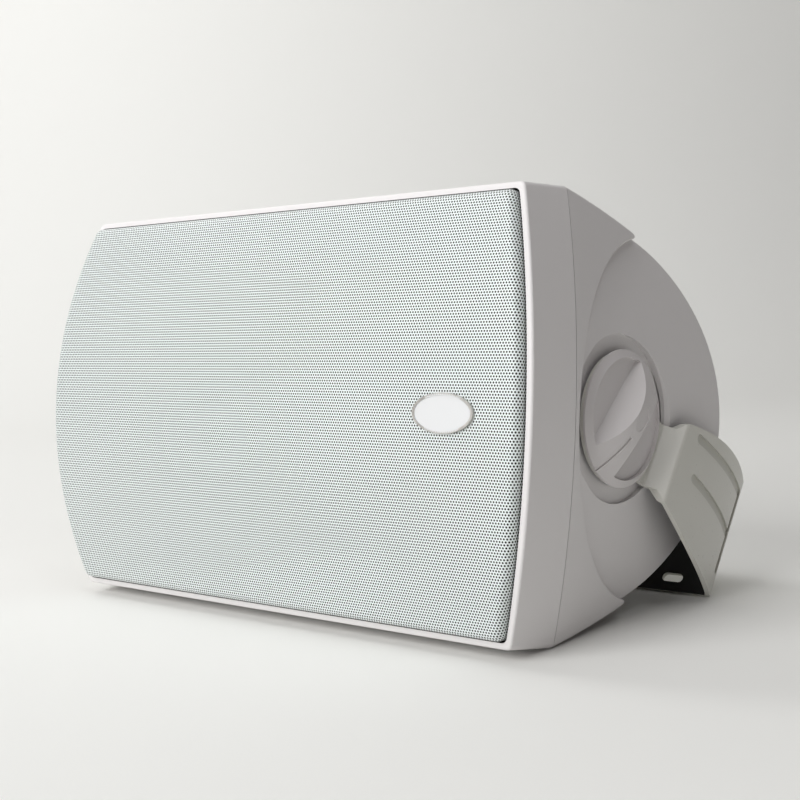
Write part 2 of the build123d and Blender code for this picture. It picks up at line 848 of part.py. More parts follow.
with BuildPart() as tweeter_dome:
    with BuildSketch(section_plane(horn_x, ring_y + running_gap)):
        with BuildLine():
            top = TangentArc((0, -dome_rise), (dome_radius, 0), tangent=(1, 0))
            base = TangentArc((0, dome_sheet - dome_rise), (dome_radius, dome_sheet), tangent=(1, 0))
            Line(top @ 0, base @ 0)
            Line(top @ 1, base @ 1)
        make_face()
        with Locations((dome_radius - dome_sheet, 0)):
            Rectangle(
                driver_bore - dome_radius + dome_sheet - side_gap,
                dome_sheet,
                align=(Align.MIN, Align.MIN),
            )
    revolve(axis=depth_axis(horn_x))
tweeter_dome.part.label = "tweeter_dome"

with BuildPart() as tweeter_magnet:
    with BuildSketch(depth_plane(ring_y, horn_x)):
        Circle(driver_radius - cup_flange)
        Circle(driver_bore, mode=Mode.SUBTRACT)
    extrude(amount=driver_magnet)
tweeter_magnet.part.label = "tweeter_magnet"

with BuildPart() as tweeter_yoke:
    with BuildSketch(depth_plane(driver_yoke_y, horn_x)):
        Circle(driver_radius - 2 * cup_flange)
    extrude(amount=driver_yoke)
    with BuildSketch(depth_plane(ring_y + 2 * dome_sheet, horn_x)):
        Circle(dome_radius - 2 * dome_sheet)
    extrude(amount=driver_magnet - 2 * dome_sheet)
tweeter_yoke.part.label = "tweeter_yoke"

# Terminal cup in the recess at the back
cup_floor = recess_floor - cup_depth + cup_wall
posts_at = [(terminal_x - post_spacing / 2, 0), (terminal_x + post_spacing / 2, 0)]
with BuildPart() as terminal_cup:
    with BuildSketch(depth_plane(recess_floor, terminal_x)):
        RectangleRounded(recess_length - 2 * side_gap, recess_height - 2 * side_gap, horn_corner - side_gap)
    extrude(amount=cup_flange)
    with BuildSketch(depth_plane(recess_floor - cup_depth, terminal_x)):
        RectangleRounded(cup_length, cup_height, horn_corner - side_gap)
    extrude(amount=cup_depth)
    with BuildSketch(depth_plane(cup_floor, terminal_x)):
        RectangleRounded(cup_length - 2 * cup_wall, cup_height - 2 * cup_wall, horn_corner - cup_wall)
    extrude(amount=far, mode=Mode.SUBTRACT)
    with BuildSketch(depth_plane(0)):
        with Locations(*posts_at):
            Circle(post_radius + running_gap)
    extrude(amount=far, mode=Mode.SUBTRACT)
    with BuildSketch(depth_plane(recess_floor)):
        with Locations(*down(terminal_screws_at)):
            Circle(small_screw_radius + side_gap)
    extrude(amount=far, mode=Mode.SUBTRACT)
terminal_cup.part.label = "terminal_cup"

# Binding posts, hollow for a plug and cross-drilled for a bare wire, each screwed home to one angle
post_places = [Location((x, z, 0), (0, 0, post_turn)) for x, z in posts_at]
wire_turn = radians(post_turn)
wire_dir = cabinet.x_dir * cos(wire_turn) - cabinet.z_dir * sin(wire_turn)
wire_y = cup_floor + post_base + cap_lift / 2
with BuildPart() as binding_posts:
    with BuildSketch(depth_plane(cup_floor)):
        with Locations(*post_places):
            Circle(post_base_radius)
    extrude(amount=post_base)
    with BuildSketch(depth_plane(cup_floor - cup_wall - post_tail)):
        with Locations(*post_places):
            Circle(post_radius)
    extrude(amount=cup_wall + post_tail + post_length)
    with BuildSketch(depth_plane(cup_floor + post_length)):
        with Locations(*post_places):
            Circle(plug_radius)
    extrude(amount=-plug_depth, mode=Mode.SUBTRACT)
    for x, z in posts_at:
        with BuildSketch(Plane(origin=spot(x, wire_y, z), x_dir=cabinet.y_dir, z_dir=wire_dir)):
            Circle(post_hole_radius)
        extrude(amount=post_base_radius, both=True, mode=Mode.SUBTRACT)
binding_posts.part.label = "binding_posts"


def post_cap(x):
    """Fluted outline of the cap nut on one binding post."""
    with BuildSketch(depth_plane(cup_floor + post_base + cap_lift, x), mode=Mode.PRIVATE) as cap:
        Circle(cap_radius)
        Circle(post_radius + running_gap, mode=Mode.SUBTRACT)
        with PolarLocations(cap_radius, cap_flutes):
            Circle(flute_radius, mode=Mode.SUBTRACT)
    return cap.sketch


with BuildPart() as post_cap_black:
    extrude(post_cap(posts_at[0][0]), amount=cap_length)
post_cap_black.part.label = "post_cap_black"

with BuildPart() as post_cap_red:
    extrude(post_cap(posts_at[1][0]), amount=cap_length)
post_cap_red.part.label = "post_cap_red"

# Crossover board on four standoffs
with BuildPart() as crossover_board:
    with BuildSketch(depth_plane(board_y, board_x)):
        Rectangle(board_length, board_height)
    extrude(amount=board_thick)
    with BuildSketch(depth_plane(board_y)):
        with Locations(*down(board_screws_at)):
            Circle(small_screw_radius + side_gap)
    extrude(amount=board_thick, mode=Mode.SUBTRACT)
crossover_board.part.label = "crossover_board"

with BuildPart() as crossover_coils:
    with BuildSketch(depth_plane(board_y, board_x)):
        with Locations((-board_length / 4, 0), (board_length / 6, -board_height / 8)):
            Circle(coil_outer)
            Circle(coil_inner, mode=Mode.SUBTRACT)
    extrude(amount=-coil_height)
crossover_coils.part.label = "crossover_coils"

with BuildPart() as crossover_capacitor:
    with BuildSketch(side_plane(board_x - capacitor_length / 4)):
        with Locations((board_y - capacitor_radius - running_gap, -board_height / 3)):
            Circle(capacitor_radius)
    extrude(amount=capacitor_length)
    fillet(crossover_capacitor.edges(), capacitor_radius / 5)
crossover_capacitor.part.label = "crossover_capacitor"

with BuildPart() as crossover_resistor:
    with BuildSketch(depth_plane(board_y, board_x)):
        with Locations((-board_length / 4, board_height / 2 - resistor_side)):
            Rectangle(resistor_length, resistor_side)
    extrude(amount=-resistor_side)
crossover_resistor.part.label = "crossover_resistor"


def discs(places, y, radius):
    """Circles of one radius at places, on a plane that faces the back."""
    with BuildSketch(depth_plane(y), mode=Mode.PRIVATE) as circles:
        with Locations(*down(places)):
            Circle(radius)
    return circles.sketch


# Pan-head screws that hold the drivers, the two cabinet halves, the board and the terminal cup
flange_front = baffle_front - flange_thick
with BuildPart() as woofer_screws:
    extrude(discs(woofer_screws_at, flange_front, screw_head), amount=-screw_head_thick)
    extrude(discs(woofer_screws_at, flange_front, screw_radius), amount=driver_screw_length)
woofer_screws.part.label = "woofer_screws"

with BuildPart() as horn_screws:
    extrude(discs(horn_screws_at, flange_front, screw_head), amount=-screw_head_thick)
    extrude(discs(horn_screws_at, flange_front, screw_radius), amount=driver_screw_length)
horn_screws.part.label = "horn_screws"

with BuildPart() as baffle_screws:
    extrude(discs(baffle_screws_at, baffle_front, screw_head), amount=-screw_head_thick)
    extrude(discs(baffle_screws_at, baffle_front, screw_radius), amount=baffle_screw_length)
baffle_screws.part.label = "baffle_screws"

with BuildPart() as board_screws:
    extrude(discs(board_screws_at, board_y, small_screw_head), amount=-screw_head_thick)
    extrude(discs(board_screws_at, board_y, small_screw_radius), amount=small_screw_length)
board_screws.part.label = "board_screws"

cup_flange_y = recess_floor + cup_flange
with BuildPart() as terminal_screws:
    extrude(discs(terminal_screws_at, cup_flange_y, small_screw_head), amount=screw_head_thick)
    extrude(discs(terminal_screws_at, cup_flange_y, small_screw_radius), amount=-small_screw_length)
terminal_screws.part.label = "terminal_screws"

# Threaded inserts in the pivot bosses
with BuildPart() as pivot_inserts:
    for end in (-1, 1):
        with BuildSketch(side_plane(end * pocket_floor)):
            with Locations((pivot_y, 0)):
                Circle(insert_radius)
                Circle(stud_radius + running_gap, mode=Mode.SUBTRACT)
        extrude(amount=-end * insert_length)
pivot_inserts.part.label = "pivot_inserts"

# Rubber friction washers between the cabinet and the bracket's arms
with BuildPart() as friction_washers:
    for end in (-1, 1):
        with BuildSketch(side_plane(end * pocket_floor)):
            with Locations((pivot_y, 0)):
                Circle(washer_radius)
                Circle(stud_radius + side_gap, mode=Mode.SUBTRACT)
        extrude(amount=end * washer_thick)
friction_washers.part.label = "friction_washers"

# Bracket frame: u runs from the pivot out along the arm, w across the arm
arm_dir = cabinet.y_dir * cos(swing) + cabinet.z_dir * sin(swing)
across_dir = cabinet.z_dir * cos(swing) - cabinet.y_dir * sin(swing)
pivot = spot(0, pivot_y, 0)
arm_plane = Plane(origin=pivot, x_dir=arm_dir, z_dir=cabinet.x_dir)
fold_plane = Plane(origin=pivot, x_dir=arm_dir, z_dir=across_dir * -1)
plate_plane = Plane(origin=pivot + arm_dir * bracket_reach, x_dir=cabinet.x_dir, z_dir=arm_dir)
arm_outer = pocket_floor + washer_thick + seat_gap + sheet
arm_end = arm_outer - arm_end_drop


def fold_profile(outer, inner):
    """Folded sheet seen along its width, between two depths below the outer skin."""
    start = -pad_radius - 4 * sheet
    with BuildSketch(fold_plane, mode=Mode.PRIVATE) as skin:
        with BuildLine():
            for end in (-1, 1):
                Polyline(
                    (start, 0),
                    (start, end * arm_outer),
                    (ramp_start, end * arm_outer),
                    (ramp_end, end * (arm_outer + crest_rise)),
                )
                ThreePointArc(
                    (ramp_end, end * (arm_outer + crest_rise)),
                    (arm_bow_mid, end * (arm_outer + arm_bow_rise)),
                    (bracket_reach, end * arm_end),
                )
                Line((bracket_reach, end * arm_end), (bracket_reach, 0))
        make_face()
        stations = skin.vertices().group_by(Axis.X)
        fillet(stations[-1].filter_by(lambda v: abs(v.Y) > arm_end / 2), bend_round)
        fillet(skin.vertices().filter_by(lambda v: ramp_start - sheet < v.X < ramp_end + sheet), sheet)
        if outer:
            offset(amount=-outer, mode=Mode.REPLACE)
        offset(amount=outer - inner, mode=Mode.SUBTRACT)
    return skin.sketch


def arm_outline():
    """Arm seen along the length: round pad, narrow root, flared arm."""
    with BuildSketch(arm_plane, mode=Mode.PRIVATE) as outline:
        with BuildLine():
            root = Line((0, root_half_width), (root_end, root_half_width))
            spread = Line(root @ 1, (ramp_end, crest_half_width))
            edge = ThreePointArc(
                spread @ 1, (arm_mid, arm_mid_half_width), (bracket_reach, plate_half_width)
            )
            tail = Line(edge @ 1, (bracket_reach + sheet, plate_half_width))
            Line(tail @ 1, (bracket_reach + sheet, 0))
            Line((0, 0), root @ 0)
            mirror(about=Plane.XZ)
        make_face()
        Circle(pad_radius)
    return outline.sketch


def bead_outline():
    """Two pressed beads on each arm, which turn down along the rear bend."""
    turn = bracket_reach - bend_round - bead_width / 2
    runs = [
        [(bead_start, bead_offset - bead_splay), (turn, bead_offset + bead_splay)],
        [(turn, bead_offset + bead_splay), (turn, bead_offset + bead_splay - bead_leg)],
        [(bead_start + bead_width, 0), (turn, 0)],
        [(turn, 0), (turn, -bead_leg)],
    ]
    with BuildSketch(arm_plane, mode=Mode.PRIVATE) as beads:
        for run in runs:
            with BuildSketch(mode=Mode.PRIVATE) as bar:
                with Locations(*run):
                    Circle(bead_width / 2)
                make_hull()
            add(bar.sketch)
    return beads.sketch


# Pressed beads: grooves in the outer skin and matching ridges inside
with BuildPart() as bead_grooves:
    extrude(fold_profile(0, bead_depth), amount=far, both=True)
    extrude(bead_outline(), amount=far, both=True, mode=Mode.INTERSECT)

with BuildPart() as bead_ridges:
    extrude(fold_profile(sheet, sheet + bead_depth), amount=far, both=True)
    extrude(bead_outline(), amount=far, both=True, mode=Mode.INTERSECT)

# U-bracket: pads under the knobs, ramps, bowed arms and a slotted back plate
slot_x = arm_end - slot_edge - slot_length / 2
with BuildPart() as bracket:
    extrude(fold_profile(0, sheet), amount=far, both=True)
    extrude(arm_outline(), amount=far, both=True, mode=Mode.INTERSECT)
    add(bead_grooves.part, mode=Mode.SUBTRACT)
    add(bead_ridges.part)
    with BuildSketch(plate_plane):
        with Locations(*[(x, i * slot_pitch) for x in (-slot_x, slot_x) for i in (-1, 0, 1)]):
            SlotOverall(slot_length, slot_width)
    extrude(amount=-2 * sheet, mode=Mode.SUBTRACT)
    extrude(pivot_disc(0, stud_radius + side_gap), amount=far, both=True, mode=Mode.SUBTRACT)
bracket.part.label = "bracket"

# Thumb knobs and their studs
knob_base = arm_outer + seat_gap
bar_turn = radians(bar_angle)
bar_dir = cabinet.y_dir * cos(bar_turn) + cabinet.z_dir * sin(bar_turn)
stud_depth = pocket_floor - insert_length + 2 * sheet
stud_seat = knob_rise / 2


def knob_profile(plane, drop):
    """Half section of the knob's domed body, lowered by drop."""
    with BuildSketch(plane, mode=Mode.PRIVATE) as profile:
        with BuildLine():
            crown = TangentArc(
                (0, knob_rise - drop),
                (knob_shoulder_radius, knob_shoulder_rise - drop),
                tangent=(1, 0),
            )
            brow = TangentArc(crown @ 1, (knob_radius, knob_rim - drop), tangent=crown % 1)
            Polyline(brow @ 1, (knob_radius, 0), (0, 0), crown @ 0)
        make_face()
    return profile.sketch


def thumb_knob(end):
    """Domed knob with a grip bar between two scoops, for one end of the cabinet."""
    out_dir = cabinet.x_dir * end
    base = spot(end * knob_base, pivot_y, 0)
    face = Plane(origin=base, x_dir=bar_dir, z_dir=out_dir)
    along = Plane(origin=base, x_dir=bar_dir * -1, z_dir=out_dir.cross(bar_dir))
    cross = Plane(origin=base, x_dir=out_dir.cross(bar_dir), z_dir=bar_dir)
    top = knob_rise + scoop_floor
    retreat = (top - scoop_floor) * tan(radians(scoop_slope))
    axis = Axis(base, out_dir)
    with BuildPart() as scoops:
        with BuildSketch(cross):
            for hand in (-1, 1):
                with BuildLine():
                    Polyline(
                        (hand * scoop_inner, scoop_floor),
                        (hand * knob_radius, scoop_floor),
                        (hand * knob_radius, top),
                        (hand * (scoop_inner - retreat), top),
                        close=True,
                    )
                make_face()
        extrude(amount=knob_radius, both=True)
        with BuildSketch(face):
            Circle(scoop_radius)
        extrude(amount=top, mode=Mode.INTERSECT)
    with BuildPart() as tick:
        revolve(knob_profile(along, 0), axis=axis)
        revolve(knob_profile(along, tick_depth), axis=axis, mode=Mode.SUBTRACT)
        with BuildSketch(face):
            with Locations((-tick_start, 0)):
                Rectangle(knob_radius, tick_width, align=(Align.MAX, Align.CENTER))
        extrude(amount=top, mode=Mode.INTERSECT)
    with BuildPart() as knob:
        revolve(knob_profile(along, 0), axis=axis)
        add(scoops.part, mode=Mode.SUBTRACT)
        add(tick.part, mode=Mode.SUBTRACT)
        with BuildSketch(face.offset(knob_rise)):
            Ellipse(emblem_length / 2, emblem_width / 2)
        extrude(amount=-emblem_depth, mode=Mode.SUBTRACT)
        with BuildSketch(face):
            Circle(stud_radius + running_gap)
        extrude(amount=stud_seat, mode=Mode.SUBTRACT)
    return knob.part


with BuildPart() as knob_right:
    add(thumb_knob(1))
knob_right.part.label = "knob_right"

with BuildPart() as knob_left:
    add(thumb_knob(-1))
knob_left.part.label = "knob_left"

stud_length = knob_base + stud_seat - seat_gap - stud_depth
with BuildPart() as knob_stud_right:
    extrude(pivot_disc(stud_depth, stud_radius), amount=stud_length)
knob_stud_right.part.label = "knob_stud_right"

with BuildPart() as knob_stud_left:
    extrude(pivot_disc(-stud_depth, stud_radius), amount=-stud_length)
knob_stud_left.part.label = "knob_stud_left"

# One STEP file for each piece
os.makedirs("parts", exist_ok=True)
export_step(front_baffle.part, "parts/front_baffle.step")
export_step(rear_cabinet.part, "parts/rear_cabinet.step")
export_step(cabinet_gasket.part, "parts/cabinet_gasket.step")
export_step(grille.part, "parts/grille.step")
export_step(badge.part, "parts/badge.step")
export_step(woofer_basket.part, "parts/woofer_basket.step")
export_step(woofer_surround.part, "parts/woofer_surround.step")
export_step(woofer_cone.part, "parts/woofer_cone.step")
export_step(dust_cap.part, "parts/dust_cap.step")
export_step(voice_coil.part, "parts/voice_coil.step")
export_step(spider.part, "parts/spider.step")
export_step(woofer_top_plate.part, "parts/woofer_top_plate.step")
export_step(woofer_magnet.part, "parts/woofer_magnet.step")
export_step(woofer_yoke.part, "parts/woofer_yoke.step")
export_step(woofer_screws.part, "parts/woofer_screws.step")
export_step(tweeter_horn.part, "parts/tweeter_horn.step")
export_step(tweeter_plate.part, "parts/tweeter_plate.step")
export_step(tweeter_dome.part, "parts/tweeter_dome.step")
export_step(tweeter_magnet.part, "parts/tweeter_magnet.step")
export_step(tweeter_yoke.part, "parts/tweeter_yoke.step")
export_step(horn_screws.part, "parts/horn_screws.step")
export_step(baffle_screws.part, "parts/baffle_screws.step")
export_step(crossover_board.part, "parts/crossover_board.step")
export_step(crossover_coils.part, "parts/crossover_coils.step")
export_step(crossover_capacitor.part, "parts/crossover_capacitor.step")
export_step(crossover_resistor.part, "parts/crossover_resistor.step")
export_step(board_screws.part, "parts/board_screws.step")
export_step(terminal_cup.part, "parts/terminal_cup.step")
export_step(terminal_screws.part, "parts/terminal_screws.step")
export_step(binding_posts.part, "parts/binding_posts.step")
export_step(post_cap_black.part, "parts/post_cap_black.step")
export_step(post_cap_red.part, "parts/post_cap_red.step")
export_step(pivot_inserts.part, "parts/pivot_inserts.step")
export_step(friction_washers.part, "parts/friction_washers.step")
export_step(bracket.part, "parts/bracket.step")
export_step(knob_right.part, "parts/knob_right.step")
export_step(knob_left.part, "parts/knob_left.step")
export_step(knob_stud_right.part, "parts/knob_stud_right.step")
export_step(knob_stud_left.part, "parts/knob_stud_left.step")
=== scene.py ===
import json
from math import acos, asin, pi, radians, sin, sqrt

import bpy
from mathutils import Matrix, Vector


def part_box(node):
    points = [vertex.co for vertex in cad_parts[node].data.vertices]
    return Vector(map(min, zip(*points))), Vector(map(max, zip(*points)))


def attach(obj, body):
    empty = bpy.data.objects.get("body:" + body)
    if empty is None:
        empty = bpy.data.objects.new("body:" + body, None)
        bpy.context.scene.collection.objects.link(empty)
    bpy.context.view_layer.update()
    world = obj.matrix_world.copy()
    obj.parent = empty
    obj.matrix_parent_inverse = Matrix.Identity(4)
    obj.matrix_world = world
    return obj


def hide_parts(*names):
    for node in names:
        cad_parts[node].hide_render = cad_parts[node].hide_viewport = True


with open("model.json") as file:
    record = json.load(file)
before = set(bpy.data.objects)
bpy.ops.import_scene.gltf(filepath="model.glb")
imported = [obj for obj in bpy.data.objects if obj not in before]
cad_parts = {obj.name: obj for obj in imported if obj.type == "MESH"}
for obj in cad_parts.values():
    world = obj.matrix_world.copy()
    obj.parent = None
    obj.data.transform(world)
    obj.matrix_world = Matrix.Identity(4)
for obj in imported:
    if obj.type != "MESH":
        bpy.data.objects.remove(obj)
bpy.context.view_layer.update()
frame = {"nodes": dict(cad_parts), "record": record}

# Studio: a seamless pale paper sweep under and behind the speaker, a large soft box in front, one
# overhead, a small one at the right, a wash on the backdrop's left and a dim, slightly warm room.
# The camera stands at the photograph's place.
scene = bpy.context.scene
scene.view_settings.view_transform = "Standard"

photo_camera = bpy.data.cameras.new("photo_camera")
photo_camera.sensor_fit = "HORIZONTAL"
photo_camera.sensor_width = 36.0
photo_camera.lens = 63.6
camera = bpy.data.objects.new("photo_camera", photo_camera)
scene.collection.objects.link(camera)
camera.matrix_world = Matrix((
    (0.75557, -0.01729, 0.65484, 0.54152),
    (0.65306, 0.09834, -0.75091, -0.60416),
    (-0.05141, 0.99501, 0.08560, 0.17888),
    (0, 0, 0, 1),
))
scene.camera = camera

sweep_size = 7.0
sweep_back = 1.9
sweep_height = 3.5
sweep_bend = 0.9
sweep_turn = radians(41.15)
bpy.ops.object.select_all(action="DESELECT")
bpy.ops.mesh.primitive_plane_add(size=sweep_size, location=(0, 0, 0))
sweep = bpy.context.object
sweep.name = "paper_sweep"
bpy.ops.object.mode_set(mode="EDIT")
bpy.ops.mesh.select_all(action="DESELECT")
bpy.ops.mesh.select_mode(type="EDGE")
bpy.ops.object.mode_set(mode="OBJECT")
for edge in sweep.data.edges:
    edge.select = all(sweep.data.vertices[v].co.y > 0 for v in edge.vertices)
bpy.ops.object.mode_set(mode="EDIT")
bpy.ops.transform.translate(value=(0, sweep_back - sweep_size / 2, 0))
bpy.ops.mesh.extrude_region_move(TRANSFORM_OT_translate={"value": (0, 0, sweep_height)})
bpy.ops.mesh.select_all(action="DESELECT")
bpy.ops.object.mode_set(mode="OBJECT")
for edge in sweep.data.edges:
    ends = [sweep.data.vertices[v].co for v in edge.vertices]
    edge.select = all(abs(end.y - sweep_back) < 0.01 and end.z < 0.01 for end in ends)
bpy.ops.object.mode_set(mode="EDIT")
bpy.ops.mesh.bevel(offset=sweep_bend, segments=24)
bpy.ops.mesh.select_all(action="SELECT")
bpy.ops.transform.rotate(value=-sweep_turn, orient_axis="Z", center_override=(0, 0, 0))
bpy.ops.object.mode_set(mode="OBJECT")
bpy.ops.object.shade_smooth()


def srgb(red, green, blue):
    """A colour given in screen values, as the shader wants it."""
    channels = [value / 255 for value in (red, green, blue)]
    linear = [c / 12.92 if c <= 0.04045 else ((c + 0.055) / 1.055) ** 2.4 for c in channels]
    return (*linear, 1.0)


def new_finish(name):
    """A new material with its nodes, links and Principled shader."""
    finish = bpy.data.materials.new(name)
    finish.use_nodes = True
    tree = finish.node_tree
    return finish, tree.nodes, tree.links, tree.nodes["Principled BSDF"]


paper, nodes, links, shader = new_finish("sweep_paper")
place = nodes.new("ShaderNodeTexCoord")
fibres = nodes.new("ShaderNodeTexNoise")
fibres.inputs["Scale"].default_value = 900
fibres.inputs["Detail"].default_value = 4
tone = nodes.new("ShaderNodeValToRGB")
tone.color_ramp.elements[0].color = srgb(237, 237, 234)
tone.color_ramp.elements[1].color = srgb(240, 240, 237)
links.new(place.outputs["Object"], fibres.inputs["Vector"])
links.new(fibres.outputs["Fac"], tone.inputs["Fac"])
links.new(tone.outputs["Color"], shader.inputs["Base Color"])
shader.inputs["Roughness"].default_value = 0.9
shader.inputs["Specular IOR Level"].default_value = 0.1
sweep.data.materials.append(paper)

for name, spot, aim, size, power in (
    ("soft_box_front", (-0.23, -1.8, 0.95), (-0.05, 0, 0.1), 1.4, 31.5),
    ("soft_box_top", (0.2, -0.2, 2.0), (0.1, 0, 0), 1.6, 12.2),
    ("small_box_right", (0.95, -0.53, 1.26), (0.18, 0, 0.09), 0.22, 1.1),
    ("backdrop_wash", (-1.15, -0.2, 1.5), (-1.45, 1.25, 0.45), 0.9, 13.9),
):
    lamp = bpy.data.lights.new(name, "AREA")
    lamp.size = size
    lamp.energy = power
    holder = bpy.data.objects.new(name, lamp)
    scene.collection.objects.link(holder)
    facing = (Vector(aim) - Vector(spot)).to_track_quat("-Z", "Y").to_matrix().to_4x4()
    holder.matrix_world = Matrix.Translation(spot) @ facing

room = bpy.data.worlds.new("room")
scene.world = room
room.use_nodes = True
room.node_tree.nodes["Background"].inputs["Color"].default_value = (1.0, 0.93, 0.92, 1)
room.node_tree.nodes["Background"].inputs["Strength"].default_value = 0.08


# Front frame: the flared outer moulding with the baffle plate and its screw bosses behind the grille.
# It is injection moulded in white weatherproof plastic with a fine etched grain, and its recess
# behind the grille is coloured near-black as painted shade for the shadowed gap round the grille.
def take(obj):
    """Makes one object the only selected and active one."""
    bpy.ops.object.select_all(action="DESELECT")
    obj.select_set(True)
    bpy.context.view_layer.objects.active = obj


def smooth_copy(node, name, body, sharp=28.0):
    """A merged copy of a solid's mesh, shaded smooth, that stands for the solid."""
    piece = bpy.data.objects.new(name, frame["nodes"][node].data.copy())
    scene.collection.objects.link(piece)
    piece.data.materials.clear()
    take(piece)
    bpy.ops.mesh.customdata_custom_splitnormals_clear()
    bpy.ops.object.mode_set(mode="EDIT")
    bpy.ops.mesh.select_all(action="SELECT")
    bpy.ops.mesh.remove_doubles(threshold=2e-6)
    bpy.ops.object.mode_set(mode="OBJECT")
    bpy.ops.object.shade_smooth_by_angle(angle=radians(sharp))
    bpy.ops.object.modifier_add(type="WEIGHTED_NORMAL")
    piece.modifiers[-1].keep_sharp = True
    piece.modifiers[-1].weight = 60
    bpy.ops.object.modifier_apply(modifier=piece.modifiers[-1].name)
    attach(piece, body)
    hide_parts(node)
    return piece


def maths(operation, first, second=None, third=None):
    """A maths node on sockets or plain numbers, in the tree that nodes and links name."""
    node = nodes.new("ShaderNodeMath")
    node.operation = operation
    for slot, value in enumerate((first, second, third)):
        if isinstance(value, (int, float)):
            node.inputs[slot].default_value = value
        elif value is not None:
            links.new(value, node.inputs[slot])
    return node.outputs["Value"]


def noise(scale, detail=2.0):
    """A noise texture on the piece's own coordinates, in the tree that nodes and links name."""
    place = nodes.new("ShaderNodeTexCoord")
    texture = nodes.new("ShaderNodeTexNoise")
    texture.inputs["Detail"].default_value = detail
    links.new(place.outputs["Object"], texture.inputs["Vector"])
    if isinstance(scale, (int, float)):
        texture.inputs["Scale"].default_value = scale
    else:
        links.new(scale, texture.inputs["Scale"])
    return texture.outputs["Fac"]


def tinted(colour, factor):
    """A colour multiplied by a factor, in the tree that nodes and links name."""
    mix = nodes.new("ShaderNodeMix")
    mix.data_type = "RGBA"
    mix.blend_type = "MULTIPLY"
    mix.inputs["Factor"].default_value = 1.0
    links.new(colour, mix.inputs["A"])
    links.new(factor, mix.inputs["B"])
    return mix.outputs["Result"]


def finish_group(name, *numbers):
    """An empty shader group that takes a colour and numbers and gives colour, roughness and height."""
    group = bpy.data.node_groups.new(name, "ShaderNodeTree")
    group.interface.new_socket("Colour", in_out="INPUT", socket_type="NodeSocketColor")
    for label, value in numbers:
        made = group.interface.new_socket(label, in_out="INPUT", socket_type="NodeSocketFloat")
        made.default_value = value
    group.interface.new_socket("Colour", in_out="OUTPUT", socket_type="NodeSocketColor")
    group.interface.new_socket("Roughness", in_out="OUTPUT", socket_type="NodeSocketFloat")
    group.interface.new_socket("Height", in_out="OUTPUT", socket_type="NodeSocketFloat")
    given, result = group.nodes.new("NodeGroupInput"), group.nodes.new("NodeGroupOutput")
    return group, group.nodes, group.links, given.outputs, result.inputs


# The etched grain of moulded plastic, also used for sprayed paint: cloudy tint, fine pits, uneven gloss.
skin_group, nodes, links, given, result = finish_group(
    "moulded_skin", ("Cloud", 0.03), ("Grain", 900.0), ("Gloss", 0.45)
)
cloud_scale = 11.0
pit_dulling = 0.12
pits = noise(given["Grain"])
clouds = maths("SUBTRACT", noise(cloud_scale, 3.0), 0.5)
cloudy = maths("MULTIPLY_ADD", clouds, given["Cloud"], 1.0)
links.new(tinted(given["Colour"], cloudy), result["Colour"])
links.new(maths("MULTIPLY_ADD", pits, pit_dulling, given["Gloss"]), result["Roughness"])
links.new(pits, result["Height"])


def group_finish(name, group, colour, depth, **numbers):
    """A material whose colour, roughness and fine relief come from one of the finish groups."""
    finish, nodes, links, shader = new_finish(name)
    skin = nodes.new("ShaderNodeGroup")
    skin.node_tree = group
    skin.inputs["Colour"].default_value = colour
    for label, value in numbers.items():
        skin.inputs[label].default_value = value
    relief = nodes.new("ShaderNodeBump")
    relief.inputs["Distance"].default_value = depth
    links.new(skin.outputs["Colour"], shader.inputs["Base Color"])
    links.new(skin.outputs["Roughness"], shader.inputs["Roughness"])
    links.new(skin.outputs["Height"], relief.inputs["Height"])
    links.new(relief.outputs["Normal"], shader.inputs["Normal"])
    return finish


cabinet_white = group_finish(
    "cabinet_white", skin_group, srgb(229, 226, 226), 0.00006, Cloud=0.03, Grain=1400.0, Gloss=0.42
)
# Painted shade: near-black colour for the recess behind the grille, standing in for its shadow.
recess_painted_shade = group_finish(
    "recess_painted_shade", skin_group, srgb(24, 24, 25), 0.00006, Cloud=0.1, Grain=1400.0, Gloss=0.6
)
face_radius = 0.390
pivot_depth = 0.080
recess_start = 0.0017
side_turn = 0.5
joints = {joint["name"]: joint for joint in frame["record"]["behaviour"]["joints"]}
pivot = Vector(joints["bracket_swing"]["pos_m"])
back = Vector(joints["red_cap_turn"]["axis"])
up = Vector((1, 0, 0)).cross(back)


def below_face(spot):
    """How high a place lies above the pivot, and how far behind the frame's curved front face."""
    height = (spot - pivot).dot(up)
    depth = (spot - pivot).dot(back) + pivot_depth
    return height, depth - face_radius + sqrt(face_radius**2 - height**2)


front_frame = smooth_copy("front_baffle", "front_frame", "cabinet")
front_frame.data.materials.append(cabinet_white)
front_frame.data.materials.append(recess_painted_shade)
# Faces deep in the recess behind the grille take the near-black painted shade.
for face in front_frame.data.polygons:
    height, depth = below_face(face.center)
    end_turn = face.normal.x * (1 if face.center.x > 0 else -1)
    edge_turn = face.normal.dot(up) * (1 if height > 0 else -1)
    in_recess = depth > recess_start and max(end_turn, edge_turn) < side_turn
    face.material_index = 1 if in_recess else 0

# Rear cabinet: the second half of the housing, with its tapered shoulder, bow-ended barrel, pivot
# pockets and terminal recess. It comes from the same white plastic, screwed on from the front.
rear_shell = smooth_copy("rear_cabinet", "rear_shell", "cabinet")
rear_shell.data.materials.append(cabinet_white)

# Gasket: a die-cut strip of closed-cell foam that the screws squeeze between the two halves. It shows
# as a thin dark line round the cabinet.
gasket_foam = group_finish(
    "gasket_foam", skin_group, srgb(42, 42, 42), 0.0002, Cloud=0.2, Grain=2500.0, Gloss=0.8
)
gasket = smooth_copy("cabinet_gasket", "gasket", "cabinet")
gasket.data.materials.append(gasket_foam)

